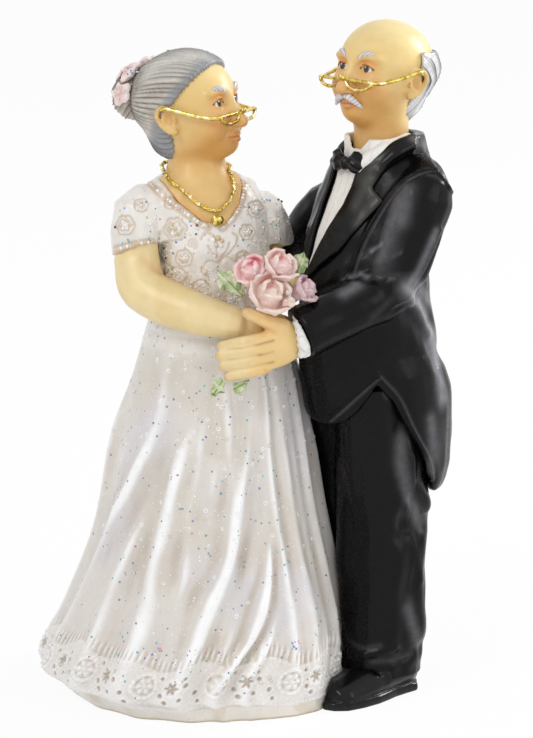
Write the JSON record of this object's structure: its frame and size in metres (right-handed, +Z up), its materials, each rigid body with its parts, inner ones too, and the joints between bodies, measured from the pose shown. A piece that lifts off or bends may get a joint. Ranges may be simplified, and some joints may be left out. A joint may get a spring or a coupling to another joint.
{
  "type": "wedding couple cake figurine",
  "caption": "Figurine of an elderly bride and groom who face each other and hold hands over a posy of roses, for the top of a cake or a shelf.",
  "frame": {"origin": "on the flat underside of the gown, below the bride's waist, on the surface that the figurine stands on", "axes": "+Z up, -Y towards the viewer, +X from the bride to the groom"},
  "size_m": [0.0741, 0.0543, 0.1198],
  "materials": {
    "gown": "pearl paint with glitter on cast resin",
    "skin": "satin cream paint with a warm wash on cast resin",
    "bride_hair": "grey paint with a dark wash on cast resin",
    "groom_hair": "grey paint with a dark wash on cast resin",
    "gold_trim": "bright gold-coloured wire",
    "suit": "satin black paint on cast resin",
    "shoe": "gloss black paint on cast resin",
    "shirt": "white paint on cast resin",
    "rose": "pale pink paint with deeper pink folds",
    "blossom": "pale pink paint",
    "leaf": "pale green paint with dark veins"
  },
  "bodies": {
    "root": {"bride_head": "skin", "bride_eyebrow_right": "bride_hair", "bride_eyebrow_left": "bride_hair", "bride_hair": "bride_hair", "bride_bun": "bride_hair", "hair_blossom_1": "blossom", "hair_blossom_2": "blossom", "hair_blossom_3": "blossom", "hair_blossom_4": "blossom", "bride_spectacles": "gold_trim", "hair_leaf": "leaf", "gown_skirt": "gown", "bride_neck": "skin", "gown_bodice": "gown", "necklace_chain": "gold_trim", "necklace_pendant": "gold_trim", "groom_head": "skin", "groom_eyebrow_right": "groom_hair", "groom_eyebrow_left": "groom_hair", "groom_hair": "groom_hair", "groom_moustache": "groom_hair", "groom_spectacles": "gold_trim", "groom_neck": "skin", "shirt_front": "shirt", "coat_body": "suit", "groom_trouser_leg_left": "suit", "groom_trouser_leg_right": "suit", "groom_shoe_left": "shoe", "groom_shoe_right": "shoe", "coat_tail_left": "suit", "coat_tail_right": "suit", "coat_lapel_left": "suit", "coat_lapel_right": "suit", "shirt_collar": "shirt", "coat_collar": "suit", "bow_tie": "suit", "coat_sleeve_left": "suit", "groom_hand_left": "skin", "bride_arm_right": "skin", "gown_sleeve_right": "gown", "gown_sleeve_left": "gown", "coat_sleeve_right": "suit", "bride_arm_left": "skin", "groom_hand_right": "skin", "shirt_cuff_left": "shirt", "shirt_cuff_right": "shirt", "posy_rose_front": "rose", "posy_rose_right": "rose", "posy_rose_left": "rose", "posy_rose_small": "rose", "posy_rose_bud": "rose", "posy_leaf_upper": "leaf", "posy_leaf_right": "leaf", "posy_leaf_lower_outer": "leaf", "posy_leaf_lower_inner": "leaf"}
  },
  "joints": []
}
